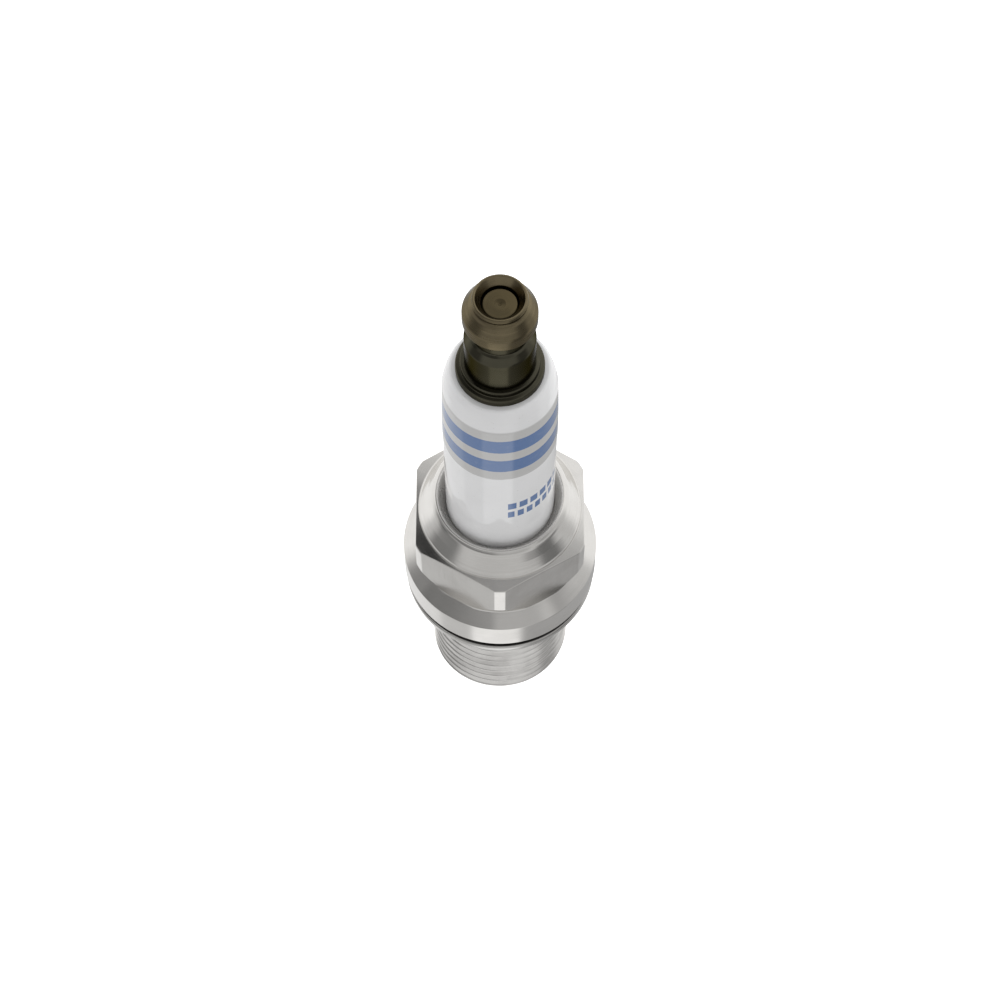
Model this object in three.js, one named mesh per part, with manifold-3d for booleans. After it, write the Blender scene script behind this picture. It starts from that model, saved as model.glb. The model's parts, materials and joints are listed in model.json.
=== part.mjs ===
// M14 resistor spark plug with a 16 mm hexagon, as an assembly of separate pieces.
// Millimetres, +Z up. The origin is on the axis, in the plane of the shell's seat face, so the
// terminal is above it and the thread and firing end are below it.

import * as THREE from 'three';
import { mergeVertices } from 'three/addons/utils/BufferGeometryUtils.js';
import Module from 'manifold-3d';

const wasm = await Module();
wasm.setup();

// ---------------------------------------------------------------- driving dimensions

const SEGMENTS = 36; // facets round every turned piece
const CLEARANCE = 0.04; // between pieces that are pressed, sealed or welded together

const THREAD_RADIUS = 6.95; // M14 crest
const THREAD_ROOT = 6.22;
const PITCH = 1.25;
const THREAD_TOP = -2.5;
const THREAD_CREST_FLAT = 0.18;
const THREAD_ROOT_WIDTH = 1.08;
const RIDGE_DEPTH = 0.15; // how far the ridge is sunk into the barrel
const SHELL_END = -17.5; // thread reach from the seat plane
const UNDERCUT_RADIUS = 6.1; // between thread and collar, where the gasket floats

const HEX_ACROSS_FLATS = 16;
const HEX_CORNER_RADIUS = 8.95; // the six corners are turned off at this radius
const HEX_TOP = 11.25;
const HEX_BOTTOM = 4.7; // at the middle of a flat
const HEX_CORNER_BOTTOM = 6.95; // at a corner, where the lower cone has cut it

const COLLAR_RADIUS = 9.43;
const COLLAR_HEIGHT = 3.5;
const CRIMP_TOP = 13.96;
const CRIMP_RIDGE_RADIUS = 5.96;
const SHELL_BORE = 6.1; // round the insulator's widest part
const THREAD_BORE = 4.9; // inside the threaded barrel, above the ledge
const LEDGE_BORE = 4.05;
const MOUTH_BORE = 4.75; // open end round the insulator's nose

const INSULATOR_TOP = 37.1;
const INSULATOR_RADIUS = 5.12;
const INSULATOR_BORE = 2.02;
const INSULATOR_SHOULDER = 5.98; // widest part, hidden inside the shell
const BARREL_RADIUS = 4.78; // ceramic inside the threaded barrel
const ELECTRODE_BORE = 1.4;
const NOSE_TIP = -19.65;

const PACKING_RADIUS = 5.61; // middle of the space between ceramic and shell
const PACKING_WIRE_RADIUS = 0.42;
const UPPER_RING_HEIGHT = 11.67;
const LOWER_RING_HEIGHT = 8.15;
const TALC_INNER = 5.18;
const TALC_OUTER = 6.04;
const TALC_BOTTOM = 8.62;
const TALC_TOP = 11.2;

const TERMINAL_TOP = 48.3;
const NUT_SEAT = 38.62;
const NUT_RADIUS = 3.17;
const NUT_BORE = 1.64;
const NUT_NECK_RADIUS = 2.45; // the lead's spring clips in here
const FLANGE_RADIUS = 3.84;
const FLANGE_STEP_RADIUS = 3.43;
const SHANK_RADIUS = 1.93;
const STUD_TOP = 47.4;
const STUD_THREAD_RADIUS = 1.56;
const STUD_END = 13.9;
const STUD_END_RADIUS = 1.7;
const SEAL_CUP_RADIUS = 1.8;
const SEAL_CUP_TOP = 18.0;

const FILLING_RADIUS = INSULATOR_BORE - CLEARANCE; // seals and resistor inside the insulator
const RESISTOR_TOP = 10.6;
const RESISTOR_BOTTOM = 1.1;
const ELECTRODE_TOP = -2.45;
const ELECTRODE_RADIUS = 1.28;
const ELECTRODE_END = -21.2;
const ELECTRODE_HEAD_RADIUS = 1.9;
const CORE_RADIUS = 0.72;
const CORE_END = -17.4;

const TIP_RADIUS = 0.3;
const TIP_END = -22.1;
const SPARK_GAP = 0.9;
const PAD_RADIUS = 0.35;
const PAD_HEIGHT = 0.5;

const GROUND_THICKNESS = 1.3;
const GROUND_WIDTH = 2.6;
const GROUND_OUTER = 6.0; // outer face of the upright leg, from the axis
const GROUND_REACH = -1.3; // the free end, just past the axis
const GROUND_BEND = 1.2; // inside radius of the bend
const GROUND_CORE_THICKNESS = 0.55;
const GROUND_CORE_WIDTH = 1.4;
const GROUND_CORE_REACH = 1.5;

const GASKET_RADIUS = 9.33;
const GASKET_INNER = 6.5; // smaller than the thread crest, so the ring can't fall off
const GASKET_FLAT_RADIUS = 7.55;
const GASKET_WEB_HALF = 0.4;
const GASKET_WEB_OUTER = 7.3;
const GASKET_TOP = -0.35;
const GASKET_BOTTOM = -2.05;

const STEEL = { color: 0xcfcdc8, roughness: 0.28, metalness: 1.0 };
const BRONZED = { color: 0x6d6248, roughness: 0.34, metalness: 1.0 };
const GLAZE = { color: 0xe9e8ea, roughness: 0.14, metalness: 0.0 };
const NICKEL_ALLOY = { color: 0xa9a59c, roughness: 0.42, metalness: 1.0 };
const COPPER = { color: 0xb5714a, roughness: 0.4, metalness: 1.0 };
const IRIDIUM = { color: 0xd8d9dc, roughness: 0.25, metalness: 1.0 };
const SEAL_GLASS = { color: 0x4a3a30, roughness: 0.5, metalness: 0.1 };
const CARBON_GLASS = { color: 0x2a2a2c, roughness: 0.6, metalness: 0.0 };
const TALC = { color: 0xddd9cf, roughness: 0.9, metalness: 0.0 };
const ZINC_PLATE = { color: 0xd9d6d0, roughness: 0.32, metalness: 1.0 };

// ---------------------------------------------------------------- helpers

/** Points of an arc in the radius-height plane, from one angle to another, ends included. */
function arc(centreRadius, centreHeight, radius, startDegrees, endDegrees, steps) {
  const points = [];
  for (let i = 0; i <= steps; i += 1) {
    const angle = THREE.MathUtils.degToRad(startDegrees + ((endDegrees - startDegrees) * i) / steps);
    points.push([centreRadius + radius * Math.cos(angle), centreHeight + radius * Math.sin(angle)]);
  }
  return points;
}

/** A solid of revolution about Z. The outline runs anticlockwise with radius to the right, height up. */
function turned(outline) {
  const points = outline.map(([radius, height]) => new THREE.Vector2(radius, height));
  const geometry = new THREE.LatheGeometry(points, SEGMENTS);
  geometry.rotateX(Math.PI / 2);
  return geometry;
}

/** A turned ring: its outline closes on itself. */
function turnedRing(outline) {
  return turned([...outline, outline[0]]);
}

/** A plain turned rod between two heights. */
function rod(radius, bottom, top) {
  return turned([[0, bottom], [radius, bottom], [radius, top], [0, top]]);
}

/** A three.js geometry as a solid for joining and cutting. */
function toSolid(geometry) {
  const bare = geometry.clone();
  bare.deleteAttribute('normal');
  bare.deleteAttribute('uv');
  const merged = mergeVertices(bare, 1e-4);
  const vertProperties = new Float32Array(merged.attributes.position.array);
  const triVerts = new Uint32Array(merged.index.array);
  return new wasm.Manifold(new wasm.Mesh({ numProp: 3, vertProperties, triVerts }));
}

/** A joined or cut solid back as a three.js geometry. */
function toGeometry(solid) {
  const mesh = solid.getMesh();
  const geometry = new THREE.BufferGeometry();
  geometry.setAttribute('position', new THREE.BufferAttribute(mesh.vertProperties, 3));
  geometry.setIndex(new THREE.BufferAttribute(mesh.triVerts, 1));
  geometry.computeVertexNormals();
  return geometry;
}

// ---------------------------------------------------------------- metal shell

/** The turned steel body: threaded barrel, collar, hexagon core and crimped rim, bored through. */
function shellBody() {
  return turnedRing([
    [MOUTH_BORE, SHELL_END],
    [6.0, SHELL_END],
    [THREAD_ROOT, SHELL_END + 0.22],
    [THREAD_ROOT, THREAD_TOP - 0.1],
    [UNDERCUT_RADIUS, THREAD_TOP + 0.1],
    [UNDERCUT_RADIUS, -0.25],
    [6.35, 0],
    [COLLAR_RADIUS - 0.22, 0],
    [COLLAR_RADIUS, 0.22],
    [COLLAR_RADIUS, COLLAR_HEIGHT],
    [8.0, HEX_BOTTOM],
    [7.9, HEX_BOTTOM + 0.1],
    [7.9, HEX_TOP - 0.04],
    [7.74, HEX_TOP],
    [7.7, 11.5],
    [7.56, 11.64],
    [7.42, 11.56],
    [7.28, 11.38],
    [7.13, 11.6],
    [7.05, 12.0],
    [6.78, 12.85],
    [6.42, 13.55],
    [6.18, 13.88],
    [CRIMP_RIDGE_RADIUS, CRIMP_TOP],
    [5.75, 13.85],
    [5.45, 13.4],
    [5.28, 12.8],
    [5.45, 12.5],
    [SHELL_BORE, 12.2],
    [SHELL_BORE, 1.3],
    [THREAD_BORE, 0.2],
    [THREAD_BORE, -6.4],
    [LEDGE_BORE, -7.25],
    [LEDGE_BORE, -8.4],
    [MOUTH_BORE, -9.1],
  ]);
}

/** The hexagon as a ring round the body, one corner facing -Y, with its turned cones. */
function hexagonRing() {
  const shape = new THREE.Shape();
  const cornerRadius = HEX_ACROSS_FLATS / Math.sqrt(3);
  for (let i = 0; i < 6; i += 1) {
    const angle = Math.PI / 6 + (i * Math.PI) / 3;
    const corner = [cornerRadius * Math.cos(angle), cornerRadius * Math.sin(angle)];
    if (i === 0) {
      shape.moveTo(...corner);
    } else {
      shape.lineTo(...corner);
    }
  }
  const hole = new THREE.Path();
  hole.absarc(0, 0, 7.0, 0, 2 * Math.PI, true);
  shape.holes.push(hole);
  const depth = HEX_TOP + 0.5 - (HEX_BOTTOM - 0.1);
  const prism = new THREE.ExtrudeGeometry(shape, { depth, bevelEnabled: false, curveSegments: 9 });
  prism.translate(0, 0, HEX_BOTTOM - 0.1);
  const halfFlats = HEX_ACROSS_FLATS / 2;
  const lowerSlope = (HEX_CORNER_BOTTOM - HEX_BOTTOM) / (HEX_CORNER_RADIUS - halfFlats);
  const envelope = turned([
    [0, HEX_BOTTOM - lowerSlope],
    [halfFlats - 1, HEX_BOTTOM - lowerSlope],
    [HEX_CORNER_RADIUS, HEX_CORNER_BOTTOM],
    [HEX_CORNER_RADIUS, HEX_TOP - 0.22],
    [7.6, HEX_TOP],
    [0, HEX_TOP],
  ]);
  return toSolid(prism).intersect(toSolid(envelope));
}

/** The helical ridge: a straight bar of thread section, wound round the axis right-handed. */
function threadRidge() {
  const bottom = SHELL_END - PITCH / 2;
  const turns = (THREAD_TOP - bottom) / PITCH + 0.5;
  const section = new THREE.Shape([
    new THREE.Vector2(THREAD_ROOT - RIDGE_DEPTH, -THREAD_ROOT_WIDTH / 2),
    new THREE.Vector2(THREAD_RADIUS, -THREAD_CREST_FLAT / 2),
    new THREE.Vector2(THREAD_RADIUS, THREAD_CREST_FLAT / 2),
    new THREE.Vector2(THREAD_ROOT - RIDGE_DEPTH, THREAD_ROOT_WIDTH / 2),
  ]);
  const steps = Math.round(turns * SEGMENTS);
  const sweep = (steps * 2 * Math.PI) / SEGMENTS;
  const bar = new THREE.ExtrudeGeometry(section, { depth: sweep, steps, bevelEnabled: false });
  const position = bar.attributes.position;
  for (let i = 0; i < position.count; i += 1) {
    const radius = position.getX(i);
    const angle = position.getZ(i);
    const height = bottom - position.getY(i) + (PITCH * angle) / (2 * Math.PI);
    position.setXYZ(i, radius * Math.cos(angle), radius * Math.sin(angle), height);
  }
  const inner = THREAD_ROOT - 0.1;
  const outer = THREAD_RADIUS + 0.2;
  const chamfer = outer - inner;
  const start = SHELL_END + 0.12;
  const envelope = turned([
    [0, start],
    [inner, start],
    [outer, start + chamfer],
    [outer, THREAD_TOP - chamfer],
    [inner, THREAD_TOP],
    [0, THREAD_TOP],
  ]);
  return toSolid(bar).intersect(toSolid(envelope));
}

function metalShell() {
  return toGeometry(toSolid(shellBody()).add(hexagonRing()).add(threadRidge()));
}

// ---------------------------------------------------------------- gasket and packings

/** Folded steel gasket: a round outer bead and a thin inner web that holds it behind the thread. */
function sealingGasket() {
  const half = (GASKET_TOP - GASKET_BOTTOM) / 2;
  const middle = (GASKET_TOP + GASKET_BOTTOM) / 2;
  return turnedRing([
    [GASKET_INNER, middle - GASKET_WEB_HALF],
    [GASKET_WEB_OUTER, middle - GASKET_WEB_HALF],
    [GASKET_FLAT_RADIUS, GASKET_BOTTOM],
    ...arc(GASKET_RADIUS - half, middle, half, -90, 90, 8),
    [GASKET_FLAT_RADIUS, GASKET_TOP],
    [GASKET_WEB_OUTER, middle + GASKET_WEB_HALF],
    [GASKET_INNER, middle + GASKET_WEB_HALF],
  ]);
}

/** Conical washer between the insulator's lower shoulder and the ledge in the shell. */
function seatWasher() {
  return turnedRing([[4.1, -7.16], [4.72, -6.54], [4.72, -5.85], [4.1, -6.47]]);
}

/** Wire ring above or below the talc, pressed down by the crimped rim. */
function packingRing(height) {
  const outline = arc(PACKING_RADIUS, height, PACKING_WIRE_RADIUS, 0, 360, 8);
  outline.pop();
  return turnedRing(outline);
}

/** Pressed talc powder that makes the joint between ceramic and shell gas-tight. */
function talcPacking() {
  return turnedRing([
    [TALC_INNER, TALC_BOTTOM],
    [TALC_OUTER, TALC_BOTTOM],
    [TALC_OUTER, TALC_TOP],
    [TALC_INNER, TALC_TOP],
  ]);
}

// ---------------------------------------------------------------- insulator and its filling

/** The one-piece ceramic: domed top, printed belt, hidden shoulder and tapering nose, bored through. */
function insulator() {
  return turnedRing([
    [ELECTRODE_BORE, NOSE_TIP],
    [1.75, NOSE_TIP],
    [2.05, NOSE_TIP + 0.12],
    [2.2, NOSE_TIP + 0.45],
    [3.2, -9.0],
    [3.45, -7.0],
    [3.9, -6.63],
    [BARREL_RADIUS, -5.75],
    [BARREL_RADIUS, 0.5],
    [INSULATOR_SHOULDER, 1.6],
    [INSULATOR_SHOULDER, 7.3],
    [5.85, 7.45],
    [INSULATOR_RADIUS, 7.62],
    [INSULATOR_RADIUS, 26.3],
    [5.17, 26.45],
    [5.16, 30.0],
    [5.06, 34.45],
    [4.98, 34.85],
    [4.85, 35.7],
    [4.68, 36.35],
    [4.42, 36.88],
    [4.34, 37.02],
    [4.2, INSULATOR_TOP],
    [2.2, INSULATOR_TOP],
    [INSULATOR_BORE, INSULATOR_TOP - 0.18],
    [INSULATOR_BORE, -4.2],
    [ELECTRODE_BORE, -4.75],
  ]);
}

/** Conductive glass fused round the lower end of the stud. */
function upperGlassSeal() {
  const bottom = RESISTOR_TOP + CLEARANCE;
  const floor = STUD_END - CLEARANCE;
  return turned([
    [0, bottom],
    [FILLING_RADIUS, bottom],
    [FILLING_RADIUS, SEAL_CUP_TOP],
    [SEAL_CUP_RADIUS, SEAL_CUP_TOP],
    [SEAL_CUP_RADIUS, floor],
    [0, floor],
  ]);
}

// ---------------------------------------------------------------- terminal

/** Steel stud: threaded top, stepped flange on the ceramic, smooth shank and a lower end in glass. */
function terminalStud() {
  return turned([
    [0, STUD_END],
    [1.3, STUD_END],
    [STUD_END_RADIUS, STUD_END + 0.4],
    [STUD_END_RADIUS, 19.4],
    [SHANK_RADIUS, 19.9],
    [SHANK_RADIUS, INSULATOR_TOP + CLEARANCE],
    [FLANGE_RADIUS, INSULATOR_TOP + CLEARANCE],
    [FLANGE_RADIUS, 37.84],
    [3.72, 37.96],
    [FLANGE_STEP_RADIUS, 37.98],
    [FLANGE_STEP_RADIUS, 38.42],
    [3.28, 38.56],
    [STUD_THREAD_RADIUS, 38.58],
    [STUD_THREAD_RADIUS, STUD_TOP - 0.22],
    [1.34, STUD_TOP],
    [0, STUD_TOP],
  ]);
}

/** Removable terminal nut: a bell-shaped head, a narrow neck that the lead clips to, and a skirt. */
function terminalNut() {
  return turnedRing([
    [NUT_BORE, NUT_SEAT],
    [2.9, NUT_SEAT],
    [3.08, NUT_SEAT + 0.18],
    [3.05, 42.8],
    [2.93, 42.98],
    [2.5, 43.06],
    [NUT_NECK_RADIUS, 43.2],
    [NUT_NECK_RADIUS, 44.6],
    [2.75, 44.86],
    [3.05, 44.98],
    [NUT_RADIUS, 45.2],
    [NUT_RADIUS, 46.3],
    [3.07, 46.9],
    [2.58, 47.62],
    [2.46, 47.78],
    [2.42, 47.98],
    [2.36, 48.18],
    [2.2, TERMINAL_TOP],
    [1.78, TERMINAL_TOP],
    [NUT_BORE, TERMINAL_TOP - 0.14],
  ]);
}

// ---------------------------------------------------------------- electrodes

/** Nickel alloy cup with an open top that the copper core fills, tapering to the fine tip. */
function electrodeSheath() {
  const bore = CORE_RADIUS + CLEARANCE;
  return turned([
    [0, ELECTRODE_END],
    [0.46, ELECTRODE_END],
    [ELECTRODE_RADIUS, -20.2],
    [ELECTRODE_RADIUS, -4.76],
    [ELECTRODE_HEAD_RADIUS, -4.2],
    [ELECTRODE_HEAD_RADIUS, ELECTRODE_TOP],
    [bore, ELECTRODE_TOP],
    [bore, CORE_END - CLEARANCE],
    [0, CORE_END - CLEARANCE],
  ]);
}

/** Side outline of a bar that follows the ground electrode, as an extrusion across its width. */
function bentBar(innerFace, outerFace, freeEnd, width) {
  const bendY = GROUND_OUTER - GROUND_THICKNESS - GROUND_BEND;
  const padSeat = TIP_END - SPARK_GAP - PAD_HEIGHT - CLEARANCE / 2;
  const bendZ = padSeat + GROUND_BEND;
  const innerRadius = innerFace - bendY;
  const outerRadius = outerFace - bendY;
  const top = SHELL_END - CLEARANCE / 2;
  const shape = new THREE.Shape();
  shape.moveTo(outerFace, top);
  shape.lineTo(innerFace, top);
  shape.lineTo(innerFace, bendZ);
  shape.absarc(bendY, bendZ, innerRadius, 0, -Math.PI / 2, true);
  shape.lineTo(freeEnd, bendZ - innerRadius);
  shape.lineTo(freeEnd, bendZ - outerRadius);
  shape.lineTo(bendY, bendZ - outerRadius);
  shape.absarc(bendY, bendZ, outerRadius, -Math.PI / 2, 0, false);
  const bar = new THREE.ExtrudeGeometry(shape, { depth: width, bevelEnabled: false, curveSegments: 8 });
  bar.translate(0, 0, -width / 2);
  // The outline's X is the plug's Y, its Y is the plug's Z, and the extrusion runs along X.
  bar.applyMatrix4(new THREE.Matrix4().set(0, 0, 1, 0, 1, 0, 0, 0, 0, 1, 0, 0, 0, 0, 0, 1));
  return bar;
}

/** The copper strip in the middle of the ground electrode, optionally grown on every side. */
function groundCoreBar(growth) {
  const middle = GROUND_OUTER - GROUND_THICKNESS / 2;
  const half = GROUND_CORE_THICKNESS / 2 + growth;
  const reach = GROUND_CORE_REACH - growth;
  return bentBar(middle - half, middle + half, reach, GROUND_CORE_WIDTH + 2 * growth);
}

function groundElectrode() {
  const inner = GROUND_OUTER - GROUND_THICKNESS;
  const bar = bentBar(inner, GROUND_OUTER, GROUND_REACH, GROUND_WIDTH);
  return toGeometry(toSolid(bar).subtract(toSolid(groundCoreBar(CLEARANCE))));
}

// ---------------------------------------------------------------- assembly

const plug = new THREE.Group();

/** Adds one named piece with its own material. */
function addPiece(name, geometry, finish, parent) {
  const mesh = new THREE.Mesh(geometry, new THREE.MeshStandardMaterial(finish));
  mesh.name = name;
  parent.add(mesh);
  return mesh;
}

const body = new THREE.Group();
addPiece('metal_shell', metalShell(), STEEL, body);
addPiece('sealing_gasket', sealingGasket(), ZINC_PLATE, body);
addPiece('upper_packing_ring', packingRing(UPPER_RING_HEIGHT), STEEL, body);
addPiece('talc_packing', talcPacking(), TALC, body);
addPiece('lower_packing_ring', packingRing(LOWER_RING_HEIGHT), STEEL, body);
addPiece('seat_washer', seatWasher(), ZINC_PLATE, body);
plug.add(body);

const core = new THREE.Group();
addPiece('insulator', insulator(), GLAZE, core);
addPiece('upper_glass_seal', upperGlassSeal(), SEAL_GLASS, core);
addPiece('resistor', rod(FILLING_RADIUS, RESISTOR_BOTTOM, RESISTOR_TOP), CARBON_GLASS, core);
const sealBottom = ELECTRODE_TOP + CLEARANCE;
const sealTop = RESISTOR_BOTTOM - CLEARANCE;
addPiece('lower_glass_seal', rod(FILLING_RADIUS, sealBottom, sealTop), SEAL_GLASS, core);
addPiece('centre_electrode_sheath', electrodeSheath(), NICKEL_ALLOY, core);
addPiece('centre_electrode_core', rod(CORE_RADIUS, CORE_END, ELECTRODE_TOP), COPPER, core);
const tipTop = ELECTRODE_END - CLEARANCE / 2;
addPiece('centre_iridium_tip', rod(TIP_RADIUS, TIP_END, tipTop), IRIDIUM, core);
plug.add(core);

const terminal = new THREE.Group();
addPiece('terminal_stud', terminalStud(), BRONZED, terminal);
addPiece('terminal_nut', terminalNut(), BRONZED, terminal);
plug.add(terminal);

const ground = new THREE.Group();
addPiece('ground_electrode', groundElectrode(), NICKEL_ALLOY, ground);
addPiece('ground_electrode_core', groundCoreBar(0), COPPER, ground);
const padTop = TIP_END - SPARK_GAP;
addPiece('ground_iridium_tip', rod(PAD_RADIUS, padTop - PAD_HEIGHT, padTop), IRIDIUM, ground);
plug.add(ground);

export default plug;
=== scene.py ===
"""The looks of an M14 spark plug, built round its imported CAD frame.

Sizes are in millimetres on the plug's own axis: Z is up, the shell's seat face is at Z = 0 and the
front is -Y. Meshes and shader nodes turn them into metres.
"""

from __future__ import annotations

import json
import logging
import math
from collections.abc import Callable, Mapping, Sequence
from dataclasses import dataclass
from enum import Enum
from typing import Any

import bmesh
import bpy
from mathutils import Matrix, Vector


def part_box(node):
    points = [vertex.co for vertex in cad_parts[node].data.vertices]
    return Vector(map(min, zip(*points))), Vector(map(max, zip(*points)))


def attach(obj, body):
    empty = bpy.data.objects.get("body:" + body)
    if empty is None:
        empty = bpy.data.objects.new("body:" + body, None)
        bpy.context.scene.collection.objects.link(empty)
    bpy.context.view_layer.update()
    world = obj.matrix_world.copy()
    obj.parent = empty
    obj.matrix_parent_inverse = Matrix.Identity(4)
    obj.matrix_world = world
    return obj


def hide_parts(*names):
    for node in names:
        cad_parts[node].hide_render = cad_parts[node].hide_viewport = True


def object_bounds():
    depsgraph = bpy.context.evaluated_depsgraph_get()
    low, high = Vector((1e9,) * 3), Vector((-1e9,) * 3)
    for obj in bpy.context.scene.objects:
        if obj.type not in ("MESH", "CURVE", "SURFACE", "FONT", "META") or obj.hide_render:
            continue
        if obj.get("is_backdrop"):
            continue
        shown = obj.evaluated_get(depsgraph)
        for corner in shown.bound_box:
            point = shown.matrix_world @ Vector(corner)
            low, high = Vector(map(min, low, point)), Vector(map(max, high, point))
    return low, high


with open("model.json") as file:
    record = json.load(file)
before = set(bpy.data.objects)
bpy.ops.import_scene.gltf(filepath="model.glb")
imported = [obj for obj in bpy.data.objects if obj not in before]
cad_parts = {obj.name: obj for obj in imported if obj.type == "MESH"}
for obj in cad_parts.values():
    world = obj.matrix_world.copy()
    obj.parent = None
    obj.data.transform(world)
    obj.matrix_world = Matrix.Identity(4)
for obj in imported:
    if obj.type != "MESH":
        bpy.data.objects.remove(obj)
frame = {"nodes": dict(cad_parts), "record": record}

LOG = logging.getLogger("spark_plug")
MM = 0.001
MERGE = 2e-7  # metres: points nearer than this are one
SHARP_DEGREES = 38.0
ROUND_STEPS = 4  # flats on each rounded edge
FINE_COLUMNS = 128  # flats round a turned piece
TIP_COLUMNS = 64  # flats round a fine tip
SUPPORT = 0.03  # an extra ring this far outside each rounded edge keeps the faces beside it flat
SUPPORT_SHARE = 0.06  # the most of a side that lies between a rounded edge and its extra ring
ROUND_SHARE = 0.42  # the most of a side that a rounded edge takes up

Point = tuple[float, float]
Colour = tuple[float, float, float]


# ---------------------------------------------------------------- sizes from the frame


@dataclass(frozen=True)
class Envelope:
    """Outer size of a CAD node, in millimetres.

    Attributes:
        radius: Largest distance from the axis along X.
        bottom: Lowest height.
        top: Highest height.
    """

    radius: float
    bottom: float
    top: float

    @classmethod
    def of(cls, node: str) -> Envelope:
        """Reads a node's box from the frame.

        Args:
            node: Name of the CAD node.

        Returns:
            Its outer size.
        """
        low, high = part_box(node)
        return cls(high.x / MM, low.z / MM, high.z / MM)


def body_of(node: str) -> str:
    """Finds the body that a CAD node belongs to.

    Args:
        node: Name of the CAD node.

    Returns:
        Name of its body.
    """
    bodies = frame["record"]["behaviour"]["bodies"]
    return next(name for name, members in bodies.items() if node in members)


# ---------------------------------------------------------------- outlines and meshes


@dataclass(frozen=True)
class Corner:
    """One corner of a turned outline.

    Attributes:
        radius: Distance from the axis.
        height: Height along the axis.
        round: Radius of the rounded edge, 0 for a plain point.
    """

    radius: float
    height: float
    round: float = 0.0


def fillet(before: Corner, corner: Corner, after: Corner) -> list[Point]:
    """Rounds one corner of an outline, with a support point beside each end of the arc.

    Args:
        before: The corner before it.
        corner: The corner that is rounded.
        after: The corner after it.

    Returns:
        The points that stand for the corner, always the same number of them.
    """
    here = Vector((corner.radius, corner.height))
    back = Vector((before.radius, before.height)) - here
    ahead = Vector((after.radius, after.height)) - here
    half = back.angle(ahead) / 2
    reach = min(corner.round / math.tan(half), ROUND_SHARE * min(back.length, ahead.length))
    spare_back = min(SUPPORT, SUPPORT_SHARE * back.length)
    spare_ahead = min(SUPPORT, SUPPORT_SHARE * ahead.length)
    back.normalize()
    ahead.normalize()
    start, end = here + back * reach, here + ahead * reach
    centre = here + (back + ahead).normalized() * (reach / math.cos(half))
    first, last = start - centre, end - centre
    from_angle = math.atan2(first.y, first.x)
    turn = (math.atan2(last.y, last.x) - from_angle + math.pi) % (2 * math.pi) - math.pi
    points = [here + back * (reach + spare_back)]
    for step in range(ROUND_STEPS + 1):
        angle = from_angle + turn * step / ROUND_STEPS
        points.append(centre + first.length * Vector((math.cos(angle), math.sin(angle))))
    points.append(here + ahead * (reach + spare_ahead))
    return [(point.x, point.y) for point in points]


def rounded(corners: Sequence[Corner], closed: bool = True) -> list[Point]:
    """Turns corners into the points of an outline.

    Args:
        corners: The corners, anticlockwise with radius to the right and height up.
        closed: Whether the last corner is followed by the first.

    Returns:
        The outline's points.
    """
    points: list[Point] = []
    count = len(corners)
    for i, corner in enumerate(corners):
        at_end = not closed and i in (0, count - 1)
        if at_end or corner.round == 0:
            points.append((corner.radius, corner.height))
        else:
            points.extend(fillet(corners[i - 1], corner, corners[(i + 1) % count]))
    return points


def even_columns(count: int = FINE_COLUMNS) -> list[float]:
    """Angles of evenly spaced columns round the axis, in radians, from 0 up to a full turn."""
    return [2 * math.pi * i / count for i in range(count)]


def new_object(name: str, data: bpy.types.ID) -> bpy.types.Object:
    """Makes an object and puts it in the scene.

    Args:
        name: Name of the object.
        data: Its mesh or its camera.

    Returns:
        The object.
    """
    made = bpy.data.objects.new(name, data)
    bpy.context.scene.collection.objects.link(made)
    return made


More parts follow.
